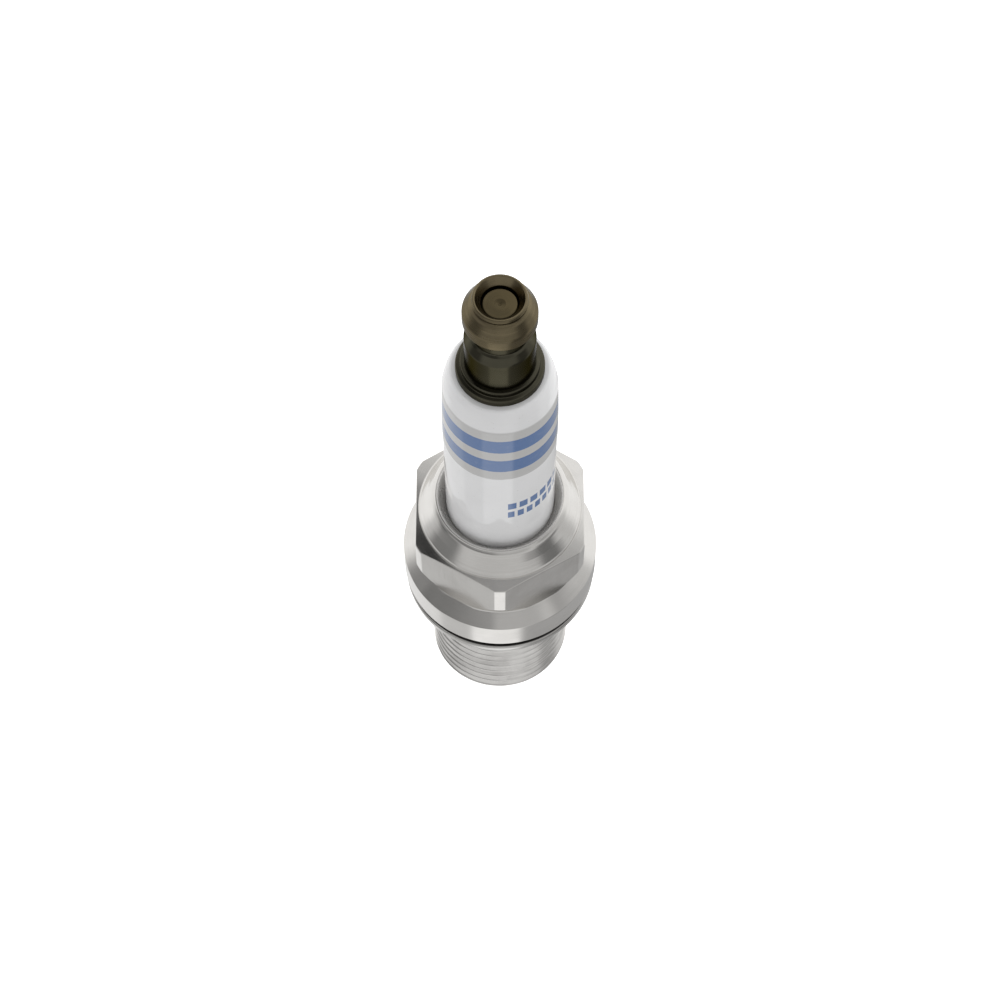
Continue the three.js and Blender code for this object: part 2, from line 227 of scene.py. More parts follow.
class Solid:
    """The points and faces of one piece, before it becomes a Blender object."""

    def __init__(self) -> None:
        """Starts with nothing in it."""
        self.points: list[tuple[float, float, float]] = []
        self.faces: list[tuple[int, ...]] = []

    def add_round(
        self,
        outline: Callable[[float], Sequence[Point]],
        columns: Sequence[float],
        closed: bool = True,
        climb: int = 0,
    ) -> Solid:
        """Sweeps an outline round the axis.

        Args:
            outline: Gives the outline's points for each column's angle, always as many.
            columns: The angles of the columns, rising from 0 to under a full turn.
            closed: Whether the outline's last point joins its first.
            climb: How many points further along the outline the last column joins the first, as
                a thread does.

        Returns:
            The same solid.
        """
        base = len(self.points)
        count = 0
        for angle in columns:
            ring = outline(angle)
            count = len(ring)
            cos, sin = math.cos(angle), math.sin(angle)
            self.points.extend((radius * cos, radius * sin, height) for radius, height in ring)
        last = len(columns) - 1
        rows = count if closed else count - 1
        for i in range(len(columns)):
            here = base + i * count
            beside = base + (i + 1 if i < last else 0) * count
            lift = climb if i == last else 0
            for row in range(rows - lift):
                above = (row + 1) % count
                self.faces.append((here + row, beside + row + lift, beside + above + lift, here + above))
        return self

    def add_loft(self, rings: Sequence[Sequence[Sequence[float]]]) -> Solid:
        """Joins closed rings of points, one to the next, and closes both ends with a face.

        Args:
            rings: The rings, each with as many points, in order.

        Returns:
            The same solid.
        """
        base = len(self.points)
        count = len(rings[0])
        for ring in rings:
            self.points.extend(tuple(point) for point in ring)
        for i in range(len(rings) - 1):
            here = base + i * count
            for j in range(count):
                beside = (j + 1) % count
                self.faces.append((here + j, here + beside, here + count + beside, here + count + j))
        self.faces.append(tuple(base + j for j in reversed(range(count))))
        self.faces.append(tuple(base + (len(rings) - 1) * count + j for j in range(count)))
        return self

    def make(
        self,
        name: str,
        materials: Sequence[bpy.types.Material],
        paint: Callable[[Vector, Vector], int] | None = None,
    ) -> bpy.types.Object:
        """Makes the Blender object.

        Args:
            name: Name of the piece.
            materials: Its materials, in slot order.
            paint: Chooses a face's slot from its middle, in millimetres, and its normal.

        Returns:
            The object, in the frame's own place.
        """
        mesh = bpy.data.meshes.new(name)
        mesh.from_pydata([tuple(c * MM for c in point) for point in self.points], [], self.faces)
        work = bmesh.new()
        work.from_mesh(mesh)
        bmesh.ops.remove_doubles(work, verts=work.verts, dist=MERGE)
        bmesh.ops.dissolve_degenerate(work, edges=work.edges, dist=MERGE)
        bmesh.ops.recalc_face_normals(work, faces=work.faces)
        for face in work.faces:
            face.smooth = True
            if paint is not None:
                face.material_index = paint(face.calc_center_median() / MM, face.normal)
        loose = sum(len(edge.link_faces) != 2 for edge in work.edges)
        if loose:
            LOG.warning("%s has %d open edges", name, loose)
        work.to_mesh(mesh)
        work.free()
        mesh.set_sharp_from_angle(angle=math.radians(SHARP_DEGREES))
        for material in materials:
            mesh.materials.append(material)
        return new_object(name, mesh)


def turned(corners: Sequence[Corner], closed: bool = True, columns: int = FINE_COLUMNS) -> Solid:
    """Turns an outline about the axis.

    Args:
        corners: The outline's corners, anticlockwise.
        closed: False where it starts and ends on the axis.
        columns: Flats round the piece.

    Returns:
        The turned solid.
    """
    points = rounded(corners, closed)
    return Solid().add_round(lambda angle: points, even_columns(columns), closed)


def fit(piece: bpy.types.Object, node: str) -> None:
    """Puts a piece in the place of a CAD node and reports it.

    Args:
        piece: The finished object.
        node: The CAD node that it stands for.
    """
    body = body_of(node)
    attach(piece, body)
    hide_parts(node)
    LOG.info("%s: %d faces, stands for %s on %s", piece.name, len(piece.data.polygons), node, body)


@dataclass(frozen=True)
class Thread:
    """A rolled right-handed screw thread.

    Attributes:
        crest: Outer radius.
        root: Inner radius.
        pitch: Height of one turn.
        bottom: Height of the lower end.
        top: Height of the upper end.
    """

    crest: float
    root: float
    pitch: float
    bottom: float
    top: float

    STATIONS = (0.0, 0.045, 0.085, 0.15, 0.32, 0.38, 0.43, 0.5, 0.57, 0.62, 0.68, 0.85, 0.915, 0.955)
    CREST_SHARE = 0.0625
    FLANK_SHARE = 0.3375
    SOFTNESS = 0.14

    def depth_at(self, turn_share: float) -> float:
        """How deep the groove is at one place in a turn.

        Args:
            turn_share: The place, from 0 on one crest to 1 on the next.

        Returns:
            0 on the crest, 1 in the root.
        """
        from_crest = min(turn_share, 1 - turn_share)
        along = (from_crest - self.CREST_SHARE) / self.FLANK_SHARE
        soft = self.SOFTNESS
        if along <= soft:
            return max(0.0, along + soft) ** 2 / (4 * soft)
        if along >= 1 - soft:
            return 1 - max(0.0, 1 + soft - along) ** 2 / (4 * soft)
        return along

    def outline(self, angle: float) -> list[Point]:
        """The thread's outline in one column.

        Args:
            angle: The column's angle in radians.

        Returns:
            Points from the lower end to the upper end, with spare ones gathered at both ends.
        """
        climb = self.pitch * angle / (2 * math.pi)
        turns = math.ceil((self.top - self.bottom) / self.pitch) + 2
        points: list[Point] = []
        for turn in range(turns):
            for station in self.STATIONS:
                height = self.bottom + (turn - 1 + station) * self.pitch + climb
                held = min(max(height, self.bottom), self.top)
                lead = min(held - self.bottom, self.top - held)
                full = self.crest - (self.crest - self.root) * self.depth_at(station)
                points.append((min(full, self.root + lead), held))
        return points

    def cut(self, solid: Solid, columns: Sequence[float]) -> None:
        """Adds the threaded surface to a solid.

        Args:
            solid: The solid whose outline stops at the thread's ends.
            columns: The solid's columns.
        """
        solid.add_round(self.outline, columns, closed=False, climb=len(self.STATIONS))


# ---------------------------------------------------------------- shader nodes


class Wire:
    """A shader socket that takes part in Python sums."""

    def __init__(self, graph: Graph, socket: bpy.types.NodeSocket) -> None:
        """Wraps an output socket of a graph's node."""
        self.graph = graph
        self.socket = socket

    def _math(self, operation: str, first: Any, second: Any = None) -> Wire:
        """Adds a Math node for one operation."""
        values = {0: first} if second is None else {0: first, 1: second}
        return self.graph.add("ShaderNodeMath", {"operation": operation}, values)

    def __add__(self, other: Any) -> Wire:
        """self + other."""
        return self._math("ADD", self, other)

    __radd__ = __add__

    def __sub__(self, other: Any) -> Wire:
        """self - other."""
        return self._math("SUBTRACT", self, other)

    def __rsub__(self, other: Any) -> Wire:
        """other - self."""
        return self._math("SUBTRACT", other, self)

    def __mul__(self, other: Any) -> Wire:
        """self * other."""
        return self._math("MULTIPLY", self, other)

    __rmul__ = __mul__

    def __mod__(self, other: Any) -> Wire:
        """self % other, never negative."""
        return self._math("FLOORED_MODULO", self, other)

    def __abs__(self) -> Wire:
        """abs(self)."""
        return self._math("ABSOLUTE", self)

    def root(self) -> Wire:
        """Square root."""
        return self._math("SQRT", self)

    def largest(self, other: Any) -> Wire:
        """The larger of the two."""
        return self._math("MAXIMUM", self, other)

    def step(self, low: float, high: float) -> Wire:
        """A smooth rise from 0 at low to 1 at high."""
        settings = {"interpolation_type": "SMOOTHSTEP"}
        values = {"Value": self, "From Min": low, "From Max": high}
        return self.graph.add("ShaderNodeMapRange", settings, values)

    def band(self, low: Any, high: Any, soft: float) -> Wire:
        """1 between low and high, with edges that fade over soft."""
        middle, half = (low + high) / 2, (high - low) / 2
        return 1 - abs(self - middle).step(half - soft, half + soft)


class Graph:
    """The node tree of a material or of the world, with the places that its patterns use."""

    def __init__(self, tree: bpy.types.NodeTree) -> None:
        """Empties a node tree."""
        self.tree = tree
        tree.nodes.clear()

    def add(
        self,
        kind: str,
        settings: Mapping[str, Any] | None = None,
        values: Mapping[str | int, Any] | None = None,
        output: str | int = 0,
    ) -> Wire:
        """Adds a node.

        Args:
            kind: The node's type.
            settings: Its own settings, set first.
            values: Numbers, colours or wires for its input sockets.
            output: Which output socket to hand back.

        Returns:
            The output socket as a wire.
        """
        node = self.tree.nodes.new(kind)
        for name, value in (settings or {}).items():
            setattr(node, name, value)
        for name, value in (values or {}).items():
            socket = node.inputs[name]
            if isinstance(value, Wire):
                self.tree.links.new(value.socket, socket)
            elif value is not None:
                socket.default_value = value
        return Wire(self, node.outputs[output]) if len(node.outputs) else Wire(self, None)

    def place(self) -> Wire:
        """The point on the object in the frame, in millimetres."""
        metres = self.add("ShaderNodeTexCoord", output="Object")
        return self.add("ShaderNodeVectorMath", {"operation": "SCALE"}, {0: metres, "Scale": 1 / MM})

    def axes(self, vector: Wire) -> tuple[Wire, Wire, Wire]:
        """The three parts of a vector."""
        node = self.add("ShaderNodeSeparateXYZ", values={0: vector}).socket.node
        return tuple(Wire(self, socket) for socket in node.outputs)

    def vector(self, x: Any, y: Any, z: Any) -> Wire:
        """A vector from its three parts."""
        return self.add("ShaderNodeCombineXYZ", values={0: x, 1: y, 2: z})

    def azimuth(self, x: Wire, y: Wire) -> Wire:
        """Angle round the axis in degrees, from the front and positive to the right."""
        return self.add("ShaderNodeMath", {"operation": "ARCTAN2"}, {0: x, 1: 0 - y}) * math.degrees(1)

    def noise(self, where: Wire, size: float, detail: float = 2.0, flat: bool = False) -> Wire:
        """Noise from 0 to 1 with patches of a size in millimetres.

        Args:
            where: The vector that it varies with.
            size: Size of its patches.
            detail: How many finer layers it has.
            flat: Whether only the vector's first two parts count.

        Returns:
            The noise value.
        """
        settings = {"noise_dimensions": "2D" if flat else "3D"}
        values = {"Vector": where, "Scale": 1 / size, "Detail": detail}
        return self.add("ShaderNodeTexNoise", settings, values)

    def blend(self, factor: Any, first: Any, second: Any) -> Wire:
        """Mixes two colours.

        Args:
            factor: 0 for all of the first, 1 for all of the second.
            first: A colour or a wire.
            second: A colour or a wire.

        Returns:
            The mixed colour.
        """
        rgba = [colour if isinstance(colour, Wire) else (*colour, 1.0) for colour in (first, second)]
        values = {0: factor, 6: rgba[0], 7: rgba[1]}
        return self.add("ShaderNodeMix", {"data_type": "RGBA"}, values, output=2)

    def bump(self, height: Wire, depth: float, under: Wire | None = None) -> Wire:
        """A normal from a height of 0 to 1 that stands for a depth in millimetres."""
        values = {"Height": height, "Distance": depth * MM, "Normal": under}
        return self.add("ShaderNodeBump", {}, values)

    def surface(self, values: Mapping[str, Any]) -> None:
        """Ends the tree with a Principled shader."""
        shader = self.add("ShaderNodeBsdfPrincipled", {}, values)
        self.add("ShaderNodeOutputMaterial", {}, {"Surface": shader})


def new_graph(name: str) -> tuple[bpy.types.Material, Graph]:
    """Makes an empty node material.

    Args:
        name: The material's name.

    Returns:
        The material and the graph of its nodes.
    """
    material = bpy.data.materials.new(name)
    material.use_nodes = True
    return material, Graph(material.node_tree)


class Marks(Enum):
    """Which way the tool marks on a metal run."""

    TURNED = "rings round the axis"
    DRAWN = "lines along the axis"
    CAST = "no direction"


@dataclass(frozen=True)
class Metal:
    """A bare or plated metal finish.

    Attributes:
        name: Name of the finish.
        colour: Colour where it is clean.
        stain: Colour where it is dull.
        polish: Roughness where it is clean.
        dull: Roughness where it is dull.
        marks: Which way its tool marks run.
        mark_size: Width of one tool mark.
        mark_depth: Depth of the tool marks.
        patch: Size of the stains.
        recess: Radii inside which grooves darken to the stain colour as painted shade and turn dull,
            outer
        radius second, or None.
        edge: Tint where it is seen at a grazing angle.
    """

    name: str
    colour: Colour
    stain: Colour
    polish: float
    dull: float
    marks: Marks = Marks.TURNED
    mark_size: float = 0.2
    mark_depth: float = 0.0006
    patch: float = 3.0
    recess: tuple[float, float] | None = None
    edge: Colour = (1.0, 1.0, 1.0)

    DRAWN_SQUEEZE = 0.06  # drawn marks vary this much more slowly along the axis
    STAIN_FADE = (0.38, 0.68)  # noise where a clean place starts to dull, and where it is all dull
    LINE_SHARE = 0.3  # the tool marks' share in the stains
    SPECKLE_SIZE = 0.25
    SPECKLE_DEPTH = 0.7  # as a share of the tool marks' depth
    SPECKLE_ROUGHNESS = 0.04  # how far the speckle moves the roughness

    def material(self) -> bpy.types.Material:
        """Builds the finish's material."""
        made, graph = new_graph(self.name)
        place = graph.place()
        x, y, z = graph.axes(place)
        radius = (x * x + y * y).root()
        if self.marks is Marks.TURNED:
            lines = graph.noise(graph.vector(radius, z, 0.0), self.mark_size, 3.0, flat=True)
        elif self.marks is Marks.DRAWN:
            lines = graph.noise(graph.vector(x, y, z * self.DRAWN_SQUEEZE), self.mark_size, 3.0)
        else:
            lines = graph.noise(place, self.mark_size, 4.0)
        cloud = graph.noise(place, self.patch, 4.0)
        speckle = graph.noise(place, self.SPECKLE_SIZE)
        stain_and_painted_shade = (cloud * (1 - self.LINE_SHARE) + lines * self.LINE_SHARE).step(*self.STAIN_FADE)
        # painted shade: grooves inside the recess radii take the stain colour and dull roughness
        if self.recess is not None:
            stain_and_painted_shade = stain_and_painted_shade.largest(1 - radius.step(*self.recess))
        rough = self.polish + stain_and_painted_shade * (self.dull - self.polish)
        rough = rough + (speckle - 0.5) * self.SPECKLE_ROUGHNESS
        bump = graph.bump(lines, self.mark_depth)
        bump = graph.bump(speckle, self.mark_depth * self.SPECKLE_DEPTH, bump)
        graph.surface({
            "Base Color": graph.blend(stain_and_painted_shade, self.colour, self.stain),
            "Metallic": 1.0,
            "Roughness": rough,
            "Specular Tint": (*self.edge, 1.0),
            "Normal": bump,
        })
        return made


@dataclass(frozen=True)
class Glaze:
    """Glazed alumina with two printed rings and two rows of plain printed dashes.

    Attributes:
        name: Name of the finish.
        colour: Colour of the ceramic.
        shade: Colour of its faint mottling.
        belt: Colour of the printed belt's ground.
        ink: Colour of the print.
        belt_from: Lower height of the belt.
        belt_to: Upper height of the belt.
        rings: Lower and upper height of each printed ring.
        rows: Lower height, upper height, dash length and gap in degrees, of each row of dashes.
        rows_from: Angle from the front, to the right, where the rows start, in degrees.
        rows_to: Angle where they end.
        glazed_above: Height below which the nose is bare ceramic.
    """

    name: str
    colour: Colour
    shade: Colour
    belt: Colour
    ink: Colour
    belt_from: float
    belt_to: float
    rings: tuple[tuple[float, float], ...]
    rows: tuple[tuple[float, float, float, float], ...]
    rows_from: float
    rows_to: float
    glazed_above: float

    EDGE = 0.03  # fade at the edges of the print, millimetres
    EDGE_DEGREES = 0.3  # the same at the ends of a dash
    ROWS_EDGE = 0.2  # the same at the ends of the rows
    RAGGED = 0.05  # how far the print's edges wander, millimetres
    RAGGED_DEGREES = 0.6  # the same at the ends of a dash
    COVER = 0.9  # how well the print covers where it is thin
    BELT_EDGE = 0.15  # fade at the edges of the belt
    GLAZE_EDGE = 0.4  # half of the height over which the glaze runs out
    SPECK = (0.45, 0.40, 0.36)  # colour of the small specks
    SPECK_COVER = 0.35
    BARE_ROUGHNESS = 0.62
    GLAZE_SMOOTHS = 0.32  # how far the glaze lowers the roughness
    INK_DEPTH = 0.004
    RIPPLE_DEPTH = 0.004  # ripples of the glaze
    GRAIN_DEPTH = 0.006  # grain of the bare ceramic

    def printed(self, graph: Graph, place: Wire, z: Wire, degrees: Wire) -> Wire:
        """Where the rings and the dashes are printed.

        Args:
            graph: The material's graph.
            place: The point on the object in millimetres.
            z: Its height.
            degrees: Its angle from the front.

        Returns:
            1 on the print, 0 beside it.
        """
        ragged = graph.noise(place, 0.35, 3.0) - 0.5
        edge_z = z + ragged * self.RAGGED
        ink = edge_z.band(*self.rings[0], self.EDGE)
        for low, high in self.rings[1:]:
            ink = ink.largest(edge_z.band(low, high, self.EDGE))
        sector = degrees.band(self.rows_from, self.rows_to, self.ROWS_EDGE)
        for low, high, dash, gap in self.rows:
            along = (degrees - self.rows_from + ragged * self.RAGGED_DEGREES) % (dash + gap)
            across = edge_z.band(low, high, self.EDGE)
            ink = ink.largest(across * along.band(0, dash, self.EDGE_DEGREES) * sector)
        return ink

    def material(self) -> bpy.types.Material:
        """Builds the finish's material."""
        made, graph = new_graph(self.name)
        place = graph.place()
        x, y, z = graph.axes(place)
        ink = self.printed(graph, place, z, graph.azimuth(x, y))
        thick = graph.noise(place, 0.5, 4.0).step(0.15, 0.5)
        print_mask = ink * (self.COVER + (1 - self.COVER) * thick)
        mottle = graph.noise(place, 4.0, 3.0).step(0.35, 0.7)
        specks = graph.noise(place, 0.16, 0.0).step(0.80, 0.86)
        ceramic = graph.blend(mottle, self.colour, self.shade)
        ceramic = graph.blend(z.band(self.belt_from, self.belt_to, self.BELT_EDGE), ceramic, self.belt)
        ceramic = graph.blend(specks * self.SPECK_COVER, ceramic, self.SPECK)
        glazed = z.step(self.glazed_above - self.GLAZE_EDGE, self.glazed_above + self.GLAZE_EDGE)
        ripple = graph.noise(place, 1.6, 2.0)
        grain = graph.noise(place, 0.09, 3.0)
        normal = graph.bump(ink, self.INK_DEPTH)
        normal = graph.bump(ripple * glazed, self.RIPPLE_DEPTH, normal)
        normal = graph.bump(grain * (1 - glazed), self.GRAIN_DEPTH, normal)
        graph.surface({
            "Base Color": graph.blend(print_mask, ceramic, self.ink),
            "Roughness": self.BARE_ROUGHNESS - self.GLAZE_SMOOTHS * glazed + 0.05 * mottle,
            "Coat Weight": glazed,
            "Coat Roughness": 0.03,
            "Specular IOR Level": 0.0,
            "Normal": normal,
        })
        return made


@dataclass(frozen=True)
class Filler:
    """A powder or a glass that fills the plug from inside.

    Attributes:
        name: Name of the finish.
        colour: Main colour.
        second: Colour of its grains.
        roughness: Surface roughness.
        grain: Size of the grains.
        depth: Depth of the grains.
    """

    name: str
    colour: Colour
    second: Colour
    roughness: float
    grain: float
    depth: float

    GRAIN_FADE = (0.45, 0.6)  # noise where a grain starts, and where it is solid
    GRAIN_ROUGHNESS = 0.1  # how much rougher a grain is

    def material(self) -> bpy.types.Material:
        """Builds the finish's material."""
        made, graph = new_graph(self.name)
        grains = graph.noise(graph.place(), self.grain, 5.0)
        mask = grains.step(*self.GRAIN_FADE)
        graph.surface({
            "Base Color": graph.blend(mask, self.colour, self.second),
            "Roughness": self.roughness + self.GRAIN_ROUGHNESS * mask,
            "Normal": graph.bump(grains, self.depth),
        })
        return made


PLATED = Metal("plated_turned_steel", (0.715, 0.70, 0.675), (0.665, 0.65, 0.625), 0.15, 0.22)
PLATED_FLATS = Metal(
    "plated_drawn_steel", (0.67, 0.655, 0.63), (0.62, 0.605, 0.58), 0.17, 0.24, Marks.DRAWN
)
# painted light and shade: a lighter copy of the plating lights the thread's flanks, and its recess paints
# shade in the roots
PLATED_THREAD_PAINTED_LIGHT_AND_SHADE = Metal(
    "plated_thread_painted_light_and_shade", (0.87, 0.855, 0.83), (0.68, 0.665, 0.645), 0.15, 0.22, recess=(6.15, 6.6)
)
# painted shade: a darker copy of the plating inside the crimped rim and the bore
CREVICE_PAINTED_SHADE = Metal("crevice_steel_painted_shade", (0.68, 0.67, 0.65), (0.60, 0.59, 0.575), 0.24, 0.34)
# painted shade: a dark copy of the plating on the seat face, the undercut and the gasket's upper leaf,
# under the collar
SEAT_PAINTED_SHADE = Metal("seat_steel_painted_shade", (0.20, 0.195, 0.19), (0.13, 0.127, 0.122), 0.35, 0.5)
ZINC = Metal("zinc_plated_strip", (0.66, 0.65, 0.63), (0.52, 0.51, 0.49), 0.2, 0.32, mark_size=0.3)
DULL_EDGE = (0.5, 0.5, 0.5)
# edge tint of the painted shade on the nut's neck and skirt
PAINTED_SHADE_EDGE = (0.32, 0.315, 0.31)
BRONZED = Metal(
    "bronzed_steel", (0.192, 0.158, 0.096), (0.145, 0.120, 0.074), 0.20, 0.32,
    mark_size=0.16, edge=DULL_EDGE,
)
FACED = Metal(
    "bronzed_faced_end", (0.112, 0.089, 0.048), (0.084, 0.068, 0.038), 0.20, 0.32,
    mark_size=0.16, edge=DULL_EDGE,
)
BROWNED = Metal(
    "browned_steel", (0.098, 0.092, 0.067), (0.068, 0.064, 0.046), 0.20, 0.32,
    mark_size=0.16, edge=DULL_EDGE,
)
# painted shade: a darker copy of the nut's bronzing on its neck and skirt, under the head
NUT_SKIRT_PAINTED_SHADE = Metal(
    "bronzed_skirt_painted_shade", (0.088, 0.083, 0.060), (0.074, 0.070, 0.050), 0.16, 0.24,
    mark_size=0.16, edge=PAINTED_SHADE_EDGE,
)
NICKEL = Metal("nickel_alloy", (0.50, 0.475, 0.44), (0.36, 0.34, 0.31), 0.32, 0.46, Marks.DRAWN, 0.12)
IRIDIUM = Metal("iridium", (0.68, 0.68, 0.69), (0.58, 0.58, 0.59), 0.2, 0.32, Marks.CAST, 0.08, 0.0004)
COPPER = Metal("copper", (0.72, 0.34, 0.20), (0.50, 0.24, 0.14), 0.3, 0.45, Marks.DRAWN, 0.15)
RING_STEEL = Metal("steel_wire", (0.5, 0.49, 0.47), (0.36, 0.34, 0.32), 0.3, 0.45)
TALC = Filler("talc_powder", (0.76, 0.73, 0.67), (0.64, 0.61, 0.55), 0.85, 0.12, 0.02)
SEAL_GLASS = Filler("copper_glass", (0.10, 0.06, 0.04), (0.34, 0.17, 0.09), 0.4, 0.18, 0.01)
RESISTOR_GLASS = Filler("carbon_glass", (0.03, 0.03, 0.032), (0.16, 0.15, 0.14), 0.5, 0.22, 0.015)


# ---------------------------------------------------------------- metal shell


@dataclass(frozen=True)
class Hexagon:
    """The wrench hexagon, one corner to the front, turned off at its corners.

    Attributes:
        across_flats: Distance between opposite flats.
        corner_radius: Radius that the corners are turned to.
        top: Height of its flat upper face.
        bottom: Height of the lower edge at the middle of a flat.
        corner_bottom: Height of the lower edge at a corner.
        softness: How far the upright edges are blended.
    """

    across_flats: float = 16.0
    corner_radius: float = 8.95
    top: float = 11.25
    bottom: float = 4.7
    corner_bottom: float = 6.95
    softness: float = 0.018

    FIRST_CORNER = 30.0  # degrees from +X
    CORNER_COLUMNS = (0.0, 1.3, 2.3, 2.9, 3.2, 3.5, 3.8, 4.2, 4.8, 5.8)
    FLAT_COLUMNS = 20

    def reach(self, angle: float) -> float:
        """Distance of the hexagon's wall from the axis.

        Args:
            angle: The direction in radians.

        Returns:
            The distance, with the upright edges blended.
        """
        from_corner = (math.degrees(angle) - self.FIRST_CORNER + 30) % 60 - 30
        wall = self.across_flats / 2 / math.cos(math.radians(30 - abs(from_corner)))
        gap = (wall - self.corner_radius) / self.softness
        return self.corner_radius - self.softness * math.log1p(math.exp(-gap))

    def lower_edge(self, reach: float) -> float:
        """Height where the lower cone meets the wall.

        Args:
            reach: Distance of the wall from the axis.

        Returns:
            The height.
        """
        half = self.across_flats / 2
        slope = (self.corner_bottom - self.bottom) / (self.corner_radius - half)
        return self.bottom + slope * (reach - half)

    def columns(self) -> list[float]:
        """Angles of the shell's columns, in radians: close together at the hexagon's corners."""
        offsets = [-offset for offset in self.CORNER_COLUMNS[:0:-1]] + list(self.CORNER_COLUMNS)
        last = self.CORNER_COLUMNS[-1]
        step = (60 - 2 * last) / self.FLAT_COLUMNS
        offsets += [last + step * i for i in range(1, self.FLAT_COLUMNS)]
        degrees = [(self.FIRST_CORNER + 60 * k + offset) % 360 for k in range(6) for offset in offsets]
        return [math.radians(angle) for angle in sorted(degrees)]


@dataclass(frozen=True)
class Shell:
    """The plated steel shell: threaded barrel, collar, hexagon and rim crimped over the ceramic.

    Attributes:
        size: Outer size from the frame.
        hexagon: The wrench hexagon.
        thread: The M14 thread.
        collar_height: Height of the collar's upright rim.
        lip: Radius where the crimped rim closes on the ceramic.
        undercut: Radius between thread and collar, where the gasket floats.
        chamber: Radius of the wide bore, round the ceramic's shoulder and the packings.
        bore: Radius of the bore in the barrel.
        ledge: Radius of the ledge that the ceramic sits on.
        mouth: Radius of the bore at the firing end.
    """

    size: Envelope
    hexagon: Hexagon
    thread: Thread
    collar_height: float = 3.5
    lip: float = 5.14
    undercut: float = 6.1
    chamber: float = 6.1
    bore: float = 4.9
    ledge: float = 4.05
    mouth: float = 4.75

    COLLAR_EDGE = 0.16  # bevel of the collar's lower edge
    TOP_SLOPE = 0.16  # fall of the hexagon's upper face towards its corners
    UPRIGHT = 0.1  # the most that an upright face's normal leans
    NEAR = 0.03  # how far a face's middle may lie from the surface it belongs to

    def upper_outline(self, angle: float) -> list[Point]:
        """The outline from the thread's upper end, over the rim and through the bore, to its lower end.

        Args:
            angle: The column's angle in radians.

        Returns:
            The outline's points.
        """
        collar, top, end = self.size.radius, self.size.top, self.size.bottom
        hexagon = self.hexagon
        reach = hexagon.reach(angle)
        low = hexagon.lower_edge(reach)
        high = hexagon.top - self.TOP_SLOPE * (reach - 7.6)
        root = self.thread.root
        return rounded([
            Corner(root, self.thread.top),
            Corner(self.undercut, self.thread.top + 0.2, 0.1),
            Corner(self.undercut, -0.3, 0.2),
            Corner(self.undercut + 0.3, 0.0, 0.1),
            Corner(collar - self.COLLAR_EDGE, 0.0, 0.1),
            Corner(collar, self.COLLAR_EDGE, 0.1),
            Corner(collar, self.collar_height, 0.09),
            Corner(7.98, hexagon.bottom, 0.28),
            Corner(reach, low, 0.1),
            Corner(reach, high, 0.1),
            Corner(7.74, hexagon.top, 0.04),
            Corner(7.7, hexagon.top + 0.14, 0.05),
            Corner(7.56, hexagon.top + 0.22, 0.08),
            Corner(6.95, top - 1.45, 1.2),
            Corner(6.42, top - 0.4, 0.9),
            Corner(5.94, top, 0.5),
            Corner(self.lip, top - 1.16, 0.1),
            Corner(self.lip, top - 1.5),
            Corner(5.6, top - 1.72),
            Corner(self.chamber, 12.2),
            Corner(self.chamber, 1.3),
            Corner(self.bore, 0.2),
            Corner(self.bore, -6.4),
            Corner(self.ledge, -7.25),
            Corner(self.ledge, -8.4),
            Corner(self.mouth, -9.1, 0.1),
            Corner(self.mouth, end, 0.08),
            Corner(6.0, end, 0.06),
            Corner(root, self.thread.bottom),
        ], closed=False)

    def build(self) -> None:
        """Builds and dresses the shell, with separate finishes on barrel, hexagon and turned faces."""
        columns = self.hexagon.columns()
        solid = Solid().add_round(self.upper_outline, columns, closed=False)
        self.thread.cut(solid, columns)
        finishes = (PLATED, PLATED_FLATS, PLATED_THREAD_PAINTED_LIGHT_AND_SHADE, CREVICE_PAINTED_SHADE, SEAT_PAINTED_SHADE)
        materials = [finish.material() for finish in finishes]
        shell = solid.make("shell", materials, self.finish_at)
        fit(shell, "metal_shell")

    def finish_at(self, middle: Vector, normal: Vector) -> int:
        """Chooses a face's finish.

        Args:
            middle: Middle of the face in millimetres.
            normal: Its normal.

        Returns:
            0 for turned faces, 1 for the hexagon's flats, 2 for the threaded barrel, a lighter copy of
            the plating as painted light with painted shade in its roots, 3 for the inside of the crimped
            rim and the bore, a darker copy as painted shade, 4 for the seat face and the undercut, a dark
            copy as the painted shade under the collar.
        """
        hexagon = self.hexagon
        radius = math.hypot(middle.x, middle.y)
        inward = middle.x * normal.x + middle.y * normal.y < -0.15 * radius
        # painted shade: the inside of the crimped rim and the bore take a darker copy of the plating
        if inward and middle.z > self.thread.top:
            return 3
        # painted shade: the seat face and the undercut take a dark copy of the plating
        if self.thread.top < middle.z < self.NEAR and radius < self.size.radius - 0.2:
            return 4
        # painted light and shade: the thread takes a lighter copy of the plating, darker in its roots
        if middle.z < self.thread.top and radius > 6.0:
            return 2
        between = hexagon.bottom < middle.z < hexagon.top
        on_wall = hexagon.across_flats / 2 - 0.05 < radius < hexagon.corner_radius - self.NEAR
        if between and on_wall and abs(normal.z) < self.UPRIGHT:
            return 1
        return 0


